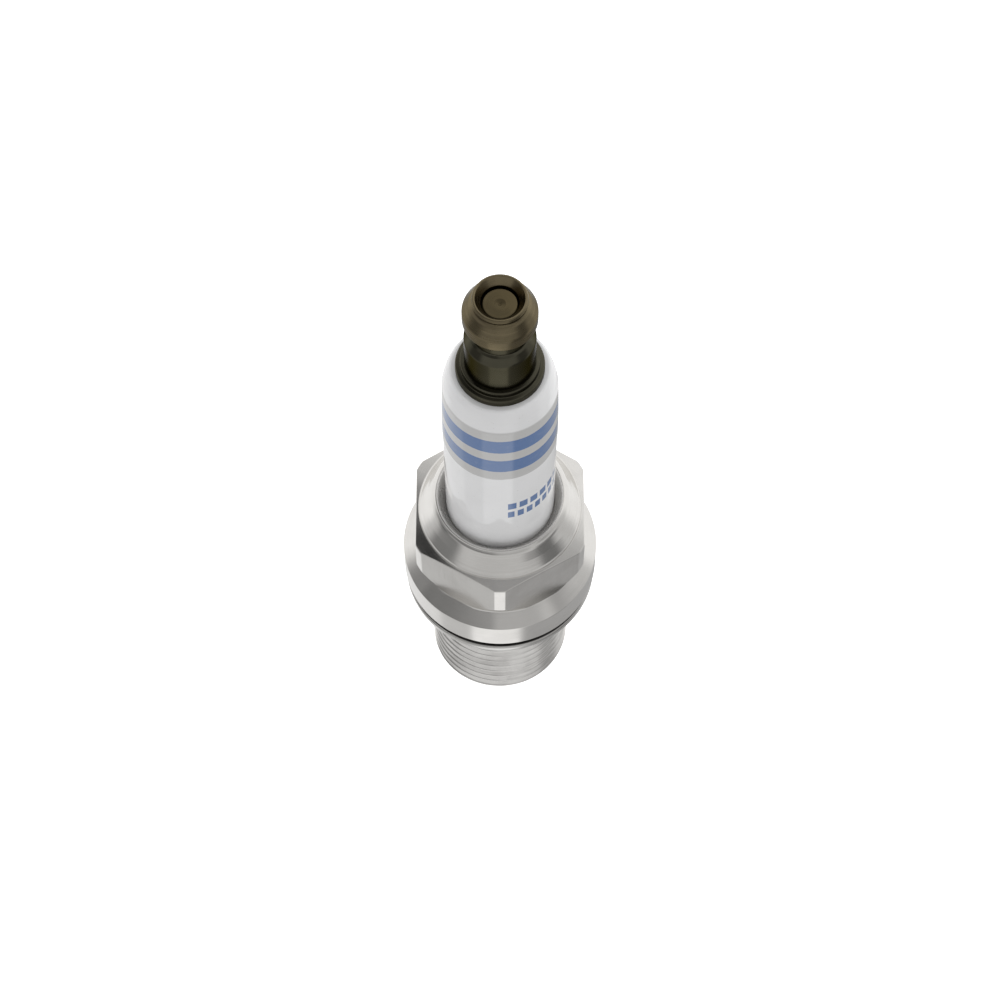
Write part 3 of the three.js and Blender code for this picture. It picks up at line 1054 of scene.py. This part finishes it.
@dataclass(frozen=True)
class Gasket:
    """The folded steel gasket: a round outer bead and a thin web that keeps it behind the thread.

    Attributes:
        size: Outer size from the frame.
        inner: Radius of the hole, smaller than the thread's crest.
        fold: Radius where the bead's flats start.
        web_half: Half the web's thickness.
        seam: Height of the open seam between the folded leaves.
        leaf: Radius of the upper leaf at the seam.
    """

    size: Envelope
    inner: float = 6.5
    fold: float = 7.55
    web_half: float = 0.4
    seam: float = -1.02
    leaf: float = 8.5

    def build(self) -> None:
        """Builds and dresses the gasket."""
        outer, low, high = self.size.radius, self.size.bottom, self.size.top
        middle = (high + low) / 2
        web_outer = self.fold - 0.25
        gasket = turned([
            Corner(self.inner, middle - self.web_half, 0.15),
            Corner(web_outer, middle - self.web_half, 0.15),
            Corner(self.fold, low, 0.15),
            Corner(outer, low, 0.6),
            Corner(outer, self.seam, 0.22),
            Corner(self.leaf, self.seam, 0.03),
            Corner(self.leaf - 0.1, self.seam + 0.06),
            Corner(self.leaf, self.seam + 0.12, 0.03),
            Corner(self.leaf + 0.05, high, 0.1),
            Corner(self.fold, high, 0.15),
            Corner(web_outer, middle + self.web_half, 0.15),
            Corner(self.inner, middle + self.web_half, 0.15),
        ]).make("gasket", [ZINC.material(), SEAT_PAINTED_SHADE.material()], self.finish_at)
        fit(gasket, "sealing_gasket")

    def finish_at(self, middle: Vector, normal: Vector) -> int:
        """Chooses a face's finish: 1 above the seam, a dark copy painted as the collar's shade, 0
        elsewhere.
        """
        return 1 if middle.z > self.seam - 0.01 else 0


# ---------------------------------------------------------------- insulator


@dataclass(frozen=True)
class Insulator:
    """The one-piece ceramic: domed top, printed belt, hidden shoulder and bare tapering nose.

    Attributes:
        size: Outer size from the frame.
        neck: Radius of the long upper part.
        belt: Radius of the printed belt, which stands slightly proud.
        barrel: Radius inside the threaded barrel.
        bore: Radius of the bore.
        tip_bore: Radius of the bore in the nose.
        finish: Its glaze and print.
    """

    size: Envelope
    neck: float
    belt: float
    barrel: float
    bore: float
    tip_bore: float
    finish: Glaze

    def build(self) -> None:
        """Builds and dresses the insulator."""
        top, tip, shoulder = self.size.top, self.size.bottom, self.size.radius
        insulator = turned([
            Corner(self.tip_bore, tip, 0.05),
            Corner(2.12, tip, 0.3),
            Corner(3.2, -9.0, 1.5),
            Corner(3.45, -7.0, 0.3),
            Corner(self.barrel, -5.75, 0.3),
            Corner(self.barrel, 0.5, 0.3),
            Corner(shoulder, 1.6, 0.3),
            Corner(shoulder, 7.3, 0.2),
            Corner(self.neck + 0.5, 7.55, 0.2),
            Corner(self.neck, 7.62, 0.1),
            Corner(self.neck, 26.3, 0.3),
            Corner(self.belt, 26.45, 0.3),
            Corner(self.belt - 0.01, 30.0),
            Corner(5.06, top - 2.65, 1.0),
            Corner(4.98, top - 2.25, 1.0),
            Corner(4.84, top - 1.4, 1.5),
            Corner(4.62, top - 0.62, 1.2),
            Corner(4.38, top - 0.1, 0.4),
            Corner(4.2, top, 0.2),
            Corner(2.2, top, 0.1),
            Corner(self.bore, top - 0.18, 0.05),
            Corner(self.bore, -4.2),
            Corner(self.tip_bore, -4.75),
        ]).make("ceramic", [self.finish.material()])
        fit(insulator, "insulator")


# ---------------------------------------------------------------- terminal


@dataclass(frozen=True)
class Stud:
    """The steel stud: threaded top with a turned centre mark, stepped flange and smooth shank.

    Attributes:
        size: Outer size from the frame.
        flange_seat: Height of the flange's underside, on the ceramic.
        step: Radius of the flange's upper step.
        shank: Radius of the shank in the bore.
        head: Radius of the plain end, just inside the nut's bore.
        thread: The thread that the nut screws on to.
    """

    size: Envelope
    flange_seat: float
    step: float
    shank: float
    head: float
    thread: Thread

    def build(self) -> None:
        """Builds and dresses the stud."""
        top, end, flange, seat = self.size.top, self.size.bottom, self.size.radius, self.flange_seat
        thread = self.thread
        upper = rounded([
            Corner(thread.root, thread.top),
            Corner(self.head, thread.top + 0.1, 0.03),
            Corner(self.head, top - 0.12, 0.08),
            Corner(self.head - 0.14, top, 0.06),
            Corner(0.5, top - 0.02, 0.1),
            Corner(0.16, top - 0.06, 0.05),
            Corner(0.0, top - 0.16),
        ], closed=False)
        lower = rounded([
            Corner(0.0, end),
            Corner(1.3, end, 0.15),
            Corner(1.7, end + 0.4, 0.15),
            Corner(1.7, 19.4, 0.2),
            Corner(self.shank, 19.9, 0.2),
            Corner(self.shank, seat),
            Corner(flange, seat, 0.06),
            Corner(flange, seat + 0.72, 0.12),
            Corner(self.step, seat + 0.8, 0.06),
            Corner(self.step, seat + 1.4, 0.12),
            Corner(self.step - 0.3, seat + 1.44, 0.03),
            Corner(thread.root, seat + 1.44),
            Corner(thread.root, thread.bottom),
        ], closed=False)
        columns = even_columns()
        solid = Solid().add_round(lambda angle: lower, columns, closed=False)
        thread.cut(solid, columns)
        solid.add_round(lambda angle: upper, columns, closed=False)
        stud = solid.make("stud", [BROWNED.material(), FACED.material()], self.finish_at)
        fit(stud, "terminal_stud")

    def finish_at(self, middle: Vector, normal: Vector) -> int:
        """Chooses a face's finish: 0 for flange and shank, 1 for the end that shows in the nut."""
        return 1 if middle.z > self.thread.top else 0


@dataclass(frozen=True)
class Nut:
    """The removable terminal nut: bell-shaped head, neck for the lead's spring, and skirt.

    Attributes:
        size: Outer size from the frame.
        bore: Radius of its bore.
        neck: Radius of the neck.
        skirt: Radius of the skirt.
        skirt_height: Height of the skirt above the flange.
    """

    size: Envelope
    bore: float = 1.6
    neck: float = 2.45
    skirt: float = 3.06
    skirt_height: float = 4.25

    def build(self) -> None:
        """Builds and dresses the nut."""
        top, seat, head = self.size.top, self.size.bottom, self.size.radius
        skirt_top = seat + self.skirt_height
        nut = turned([
            Corner(self.bore, seat, 0.05),
            Corner(2.95, seat, 0.1),
            Corner(self.skirt, seat + 0.2, 0.15),
            Corner(self.skirt, skirt_top - 0.55, 0.5),
            Corner(self.neck + 0.2, skirt_top + 0.12, 0.1),
            Corner(self.neck, skirt_top + 0.33, 0.12),
            Corner(self.neck, top - 3.7, 0.2),
            Corner(2.75, top - 3.44, 0.2),
            Corner(head, top - 3.2, 0.25),
            Corner(head, top - 1.9, 0.7),
            Corner(2.58, top - 0.8, 0.14),
            Corner(2.26, top - 0.62, 0.22),
            Corner(2.36, top - 0.26, 0.16),
            Corner(2.28, top, 0.16),
            Corner(2.1, top, 0.1),
            Corner(self.bore, top - 0.7, 0.1),
        ]).make("terminal_cap", [BRONZED.material(), NUT_SKIRT_PAINTED_SHADE.material()], self.finish_at)
        fit(nut, "terminal_nut")

    def finish_at(self, middle: Vector, normal: Vector) -> int:
        """Chooses a face's finish: 0 for the head, 1 for the neck and the skirt, a darker copy painted as
        shade under the head.
        """
        return 1 if middle.z < self.size.top - 3.6 else 0


# ---------------------------------------------------------------- electrodes


@dataclass(frozen=True)
class CentreElectrode:
    """The nickel alloy sheath round the copper core, and the fine tip welded to its end.

    Attributes:
        sheath: Outer size of the sheath from the frame.
        tip: Outer size of the tip from the frame.
        radius: Radius of the sheath in the nose.
        weld: Radius of its end, where the tip is welded on.
        core_bore: Radius of the hole that the core fills.
        core_end: Height of the hole's closed end.
    """

    sheath: Envelope
    tip: Envelope
    radius: float = 1.28
    weld: float = 0.46
    core_bore: float = 0.76
    core_end: float = -17.44

    def build(self) -> None:
        """Builds and dresses the sheath and the tip."""
        end, top, head = self.sheath.bottom, self.sheath.top, self.sheath.radius
        sheath = turned([
            Corner(0.0, end),
            Corner(self.weld, end, 0.1),
            Corner(self.radius, end + 1.0, 0.25),
            Corner(self.radius, -4.76, 0.1),
            Corner(head, -4.2, 0.1),
            Corner(head, top, 0.1),
            Corner(self.core_bore, top),
            Corner(self.core_bore, self.core_end),
            Corner(0.0, self.core_end),
        ], closed=False).make("centre_sheath", [NICKEL.material()])
        tip = turned([
            Corner(0.0, self.tip.bottom),
            Corner(self.tip.radius, self.tip.bottom, 0.03),
            Corner(self.tip.radius, self.tip.top - 0.14, 0.1),
            Corner(self.tip.radius + 0.1, self.tip.top, 0.02),
            Corner(0.0, self.tip.top),
        ], closed=False, columns=TIP_COLUMNS).make("centre_tip", [IRIDIUM.material()])
        fit(sheath, "centre_electrode_sheath")
        fit(tip, "centre_iridium_tip")


@dataclass(frozen=True)
class GroundElectrode:
    """The bent bar welded to the shell's end face behind the nose, with its small pad.

    Attributes:
        low: Lowest corner of the bar's box, in millimetres.
        high: Highest corner.
        pad: Outer size of the pad from the frame.
        thickness: Thickness of the bar.
        bend: Inside radius of the bend.
        core_thickness: Thickness of the copper strip, with its clearance.
        core_width: Width of the copper strip, with its clearance.
        core_reach: Where the strip's hollow ends, along Y.
    """

    low: Vector
    high: Vector
    pad: Envelope
    thickness: float = 1.3
    bend: float = 1.2
    core_thickness: float = 0.63
    core_width: float = 1.48
    core_reach: float = 1.46

    EDGE = 0.28  # radius of the bar's long edges
    NOSE = 0.16  # how far the free end's edges are rounded
    FLARE = 0.09  # weld upset beside the shell
    CORE_EDGE = 0.05  # radius of the hollow's long edges
    CORNER_STEPS = 4  # flats on each rounded edge
    BEND_STEPS = 16  # flats round the bend

    def section(self, width: float, thickness: float, edge: float) -> list[Point]:
        """A rectangle with rounded corners, anticlockwise.

        Args:
            width: Its size across the bar.
            thickness: Its size out from the bend.
            edge: Radius of its corners.

        Returns:
            Its points: across the bar, then out from the bend.
        """
        points: list[Point] = []
        for k, (side, out) in enumerate(((1, 1), (-1, 1), (-1, -1), (1, -1))):
            for step in range(self.CORNER_STEPS + 1):
                angle = math.pi / 2 * (k + step / self.CORNER_STEPS)
                across = side * (width / 2 - edge) + edge * math.cos(angle)
                points.append((across, out * (thickness / 2 - edge) + edge * math.sin(angle)))
        return points

    def stations(self, reach: float) -> list[tuple[float, float, float]]:
        """Middle line of the bar: Y, Z and the angle that its outer face looks to, in radians.

        Args:
            reach: Where it ends, along Y.

        Returns:
            The stations from the weld to the free end.
        """
        middle = self.bend + self.thickness / 2
        centre_y = self.high.y - self.thickness - self.bend
        centre_z = self.low.z + self.thickness + self.bend
        top = self.high.z
        line = [(centre_y + middle, height, 0.0) for height in (top, top - 0.15, top - 0.35, top - 0.6)]
        line += [(centre_y + middle, centre_z + 1.0, 0.0)]
        for step in range(self.BEND_STEPS + 1):
            angle = -math.pi / 2 * step / self.BEND_STEPS
            line.append((centre_y + middle * math.cos(angle), centre_z + middle * math.sin(angle), angle))
        line.append(((centre_y + reach) / 2, centre_z - middle, -math.pi / 2))
        line.append((reach, centre_z - middle, -math.pi / 2))
        return line

    def ring(self, station: tuple[float, float, float], outline: Sequence[Point]) -> list[Vector]:
        """Places a section on the middle line.

        Args:
            station: Where it goes.
            outline: The section's points.

        Returns:
            The points in the frame, in millimetres.
        """
        y, z, angle = station
        out = Vector((0.0, math.cos(angle), math.sin(angle)))
        return [Vector((across, y, z)) + out * up for across, up in outline]

    def build(self) -> None:
        """Builds and dresses the bar and its pad."""
        width = self.high.x - self.low.x
        line = self.stations(self.low.y + self.NOSE)
        rings = []
        for i, station in enumerate(line):
            flare = self.FLARE * max(0.0, 1 - i / 3) ** 2
            size = self.section(width + 2 * flare, self.thickness + flare, self.EDGE)
            rings.append(self.ring(station, size))
        y, z, angle = line[-1]
        for step in range(1, self.CORNER_STEPS + 1):
            turn = math.pi / 2 * step / self.CORNER_STEPS
            inset = self.NOSE * (1 - math.cos(turn))
            place = (y - self.NOSE * math.sin(turn), z, angle)
            size = self.section(width - 2 * inset, self.thickness - 2 * inset, self.EDGE - inset * 0.5)
            rings.append(self.ring(place, size))
        hollow_size = self.section(self.core_width, self.core_thickness, self.CORE_EDGE)
        hollow = [self.ring(station, hollow_size) for station in self.stations(self.core_reach)]
        solid = Solid().add_loft([*reversed(hollow), *rings])
        bar = solid.make("ground_bar", [NICKEL.material()])
        pad = turned([
            Corner(0.0, self.pad.bottom),
            Corner(self.pad.radius, self.pad.bottom, 0.02),
            Corner(self.pad.radius, self.pad.top, 0.04),
            Corner(0.0, self.pad.top),
        ], closed=False, columns=TIP_COLUMNS).make("ground_pad", [IRIDIUM.material()])
        fit(bar, "ground_electrode")
        fit(pad, "ground_iridium_tip")


# ---------------------------------------------------------------- pieces inside


@dataclass(frozen=True)
class Inside:
    """The CAD nodes that stay as they are, inside the shell and the ceramic.

    Attributes:
        finishes: The finish of each node.
    """

    finishes: Mapping[str, Metal | Filler]

    def dress(self) -> None:
        """Gives each node its finish and reports it."""
        made = {finish: finish.material() for finish in dict.fromkeys(self.finishes.values())}
        for node, finish in self.finishes.items():
            mesh = frame["nodes"][node].data
            mesh.materials.clear()
            mesh.materials.append(made[finish])
            LOG.info("%s keeps its CAD shape, in %s", node, finish.name)


# ---------------------------------------------------------------- studio


@dataclass(frozen=True)
class Panel:
    """One soft source far from the plug, or one dark flag where its strength is negative.

    Attributes:
        azimuth: Its middle, in degrees from the front, positive to the right.
        elevation: Its middle, in degrees above the horizon.
        width: Degrees from its middle to its side edges.
        height: Degrees from its middle to its upper and lower edges.
        soft: Degrees over which its edges fade.
        strength: How bright it is.
    """

    azimuth: float
    elevation: float
    width: float
    height: float
    soft: float
    strength: float

    def glow(self, azimuth: Wire, elevation: Wire) -> Wire:
        """Its light from one direction.

        Args:
            azimuth: The direction's angle from the front, in degrees.
            elevation: Its angle above the horizon, in degrees.

        Returns:
            The light's strength.
        """
        across = abs((azimuth - self.azimuth + 180) % 360 - 180)
        upward = abs(elevation - self.elevation)
        sides = 1 - across.step(self.width - self.soft / 2, self.width + self.soft / 2)
        ends = 1 - upward.step(self.height - self.soft / 2, self.height + self.soft / 2)
        return sides * ends * self.strength


@dataclass(frozen=True)
class Studio:
    """Floor, soft light and camera.

    Attributes:
        floor_height: Height of the floor.
        ambient: Even light from all round.
        panels: The soft sources and dark flags.
        fill: How much stronger the light is on dull surfaces than in reflections.
        aim_height: Height on the axis that the camera looks at.
        elevation: Camera's angle above the horizon, in degrees.
        distance: Camera's distance from the point it looks at.
        lens: Focal length.
    """

    floor_height: float
    ambient: float
    panels: tuple[Panel, ...]
    fill: float = 1.33
    aim_height: float = 12.44
    elevation: float = 62.82
    distance: float = 223.08
    lens: float = 85.0

    FLOOR_GAP = 0.05  # between the plug's lowest point and the floor
    FLOOR_SIZE = 3.0  # metres
    FLOOR_SIDES = 96
    SENSOR = 36.0  # width of the camera's sensor
    CLIP_START = 0.005  # metres

    def light(self) -> None:
        """Lights the scene with the panels; the camera itself sees plain pale air."""
        world = bpy.data.worlds.new("studio")
        world.use_nodes = True
        bpy.context.scene.world = world
        graph = Graph(world.node_tree)
        x, y, z = graph.axes(graph.add("ShaderNodeTexCoord", output="Generated"))
        azimuth = graph.azimuth(x, y)
        elevation = graph.add("ShaderNodeMath", {"operation": "ARCSINE"}, {0: z}) * math.degrees(1)
        glow: Any = self.ambient
        for panel in self.panels:
            glow = panel.glow(azimuth, elevation) + glow
        diffuse = graph.add("ShaderNodeLightPath", output="Is Diffuse Ray")
        strength = glow.largest(0.0) * (1 + diffuse * (self.fill - 1))
        studio = graph.add("ShaderNodeBackground", values={"Strength": strength})
        pale = graph.add("ShaderNodeBackground", values={"Color": (1.0, 1.0, 1.0, 1.0)})
        seen = graph.add("ShaderNodeLightPath", output="Is Camera Ray")
        mixed = graph.add("ShaderNodeMixShader", values={0: seen, 1: studio, 2: pale})
        graph.add("ShaderNodeOutputWorld", values={"Surface": mixed})

    def floor(self) -> None:
        """Lays the pale floor, which is clear from below."""
        material, graph = new_graph("pale_floor")
        grain = graph.noise(graph.place(), 40.0, 3.0)
        pale = graph.add("ShaderNodeBsdfPrincipled", {}, {
            "Base Color": graph.blend(grain, (0.9, 0.9, 0.9), (0.93, 0.93, 0.93)),
            "Roughness": 0.8,
            "Specular IOR Level": 0.0,
            "Emission Color": (1.0, 1.0, 1.0, 1.0),
            "Emission Strength": 0.9,
        })
        clear = graph.add("ShaderNodeBsdfTransparent")
        below = graph.add("ShaderNodeNewGeometry", output="Backfacing")
        surface = graph.add("ShaderNodeMixShader", values={0: below, 1: pale, 2: clear})
        graph.add("ShaderNodeOutputMaterial", values={"Surface": surface})
        work = bmesh.new()
        bmesh.ops.create_circle(work, cap_ends=True, segments=self.FLOOR_SIDES, radius=self.FLOOR_SIZE)
        mesh = bpy.data.meshes.new("floor")
        work.to_mesh(mesh)
        work.free()
        mesh.materials.append(material)
        floor = new_object("floor", mesh)
        floor.location.z = self.floor_height * MM
        floor.visible_glossy = False
        floor.visible_diffuse = False
        floor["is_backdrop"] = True

    def camera(self) -> None:
        """Sets up the camera above the front of the plug."""
        data = bpy.data.cameras.new("camera")
        data.lens = self.lens
        data.sensor_width = self.SENSOR
        data.clip_start = self.CLIP_START
        camera = new_object("camera", data)
        lift = math.radians(self.elevation)
        back = Vector((0.0, -math.cos(lift), math.sin(lift)))
        camera.location = (Vector((0.0, 0.0, self.aim_height)) + back * self.distance) * MM
        camera.rotation_euler = (math.pi / 2 - lift, 0.0, 0.0)
        bpy.context.scene.camera = camera

    def set_up(self) -> None:
        """Sets up camera, light, floor and the plain colour transform."""
        self.camera()
        self.light()
        self.floor()
        bpy.context.scene.view_settings.view_transform = "Standard"
        LOG.info("studio: %d panels, floor at %.2f mm", len(self.panels), self.floor_height)


def main() -> None:
    """Builds the plug's pieces in order, then the studio."""
    logging.basicConfig(level=logging.INFO, format="%(message)s")
    cad_low, cad_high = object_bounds()
    shell_size = Envelope.of("metal_shell")
    Studio(
        floor_height=cad_low.z / MM - Studio.FLOOR_GAP,
        ambient=0.80,
        panels=(
            Panel(180, -8, 80, 48, 14, 0.55),
            Panel(150, 52, 44, 10, 12, 0.50),
            Panel(-90, 20, 18, 10, 12, -0.42),
            Panel(-40, 28, 34, 8, 12, -0.56),
            Panel(16, 28, 24, 8, 12, -0.20),
            Panel(-68, -5, 18, 20, 14, -0.50),
            Panel(-122, 60, 26, 17, 8, -0.58),
            Panel(50, -33, 20, 21, 12, -0.55),
            Panel(62, -1, 16, 12, 12, -0.50),
            Panel(67, 36, 14, 9, 12, -0.45),
            Panel(-5, -66, 30, 16, 8, 0.55),
            Panel(98, -73, 70, 18, 10, -0.26),
            Panel(-128, -68, 50, 14, 12, 0.30),
            Panel(0, 90, 180, 32, 14, -0.20),
            Panel(0, 90, 180, 17, 10, -0.12),
        ),
    ).set_up()
    Shell(
        size=shell_size,
        hexagon=Hexagon(),
        thread=Thread(crest=6.95, root=6.22, pitch=1.25, bottom=shell_size.bottom + 0.22, top=-2.6),
    ).build()
    Gasket(Envelope.of("sealing_gasket")).build()
    insulator_size = Envelope.of("insulator")
    glaze = Glaze(
        name="printed_glaze",
        colour=(0.88, 0.88, 0.885),
        shade=(0.85, 0.85, 0.853),
        belt=(0.565, 0.562, 0.555),
        ink=(0.108, 0.20, 0.42),
        belt_from=26.4,
        belt_to=34.6,
        rings=((27.85, 29.85), (31.2, 33.2)),
        rows=((20.35, 21.45, 9.0, 3.2), (18.75, 19.85, 7.0, 3.2)),
        rows_from=8.0,
        rows_to=78.0,
        glazed_above=1.0,
    )
    Insulator(
        size=insulator_size,
        neck=5.12,
        belt=5.17,
        barrel=4.78,
        bore=2.02,
        tip_bore=1.4,
        finish=glaze,
    ).build()
    stud_size = Envelope.of("terminal_stud")
    nut_size = Envelope.of("terminal_nut")
    Stud(
        size=stud_size,
        flange_seat=insulator_size.top + 0.04,
        step=3.43,
        shank=1.93,
        head=1.55,
        thread=Thread(
            crest=1.54, root=1.28, pitch=0.7, bottom=nut_size.bottom + 0.1, top=stud_size.top - 0.6
        ),
    ).build()
    Nut(nut_size).build()
    CentreElectrode(Envelope.of("centre_electrode_sheath"), Envelope.of("centre_iridium_tip")).build()
    low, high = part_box("ground_electrode")
    GroundElectrode(low / MM, high / MM, Envelope.of("ground_iridium_tip")).build()
    Inside({
        "upper_packing_ring": RING_STEEL,
        "lower_packing_ring": RING_STEEL,
        "seat_washer": ZINC,
        "talc_packing": TALC,
        "upper_glass_seal": SEAL_GLASS,
        "lower_glass_seal": SEAL_GLASS,
        "resistor": RESISTOR_GLASS,
        "centre_electrode_core": COPPER,
        "ground_electrode_core": COPPER,
    }).dress()
    low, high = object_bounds()


if __name__ == "__main__":
    main()
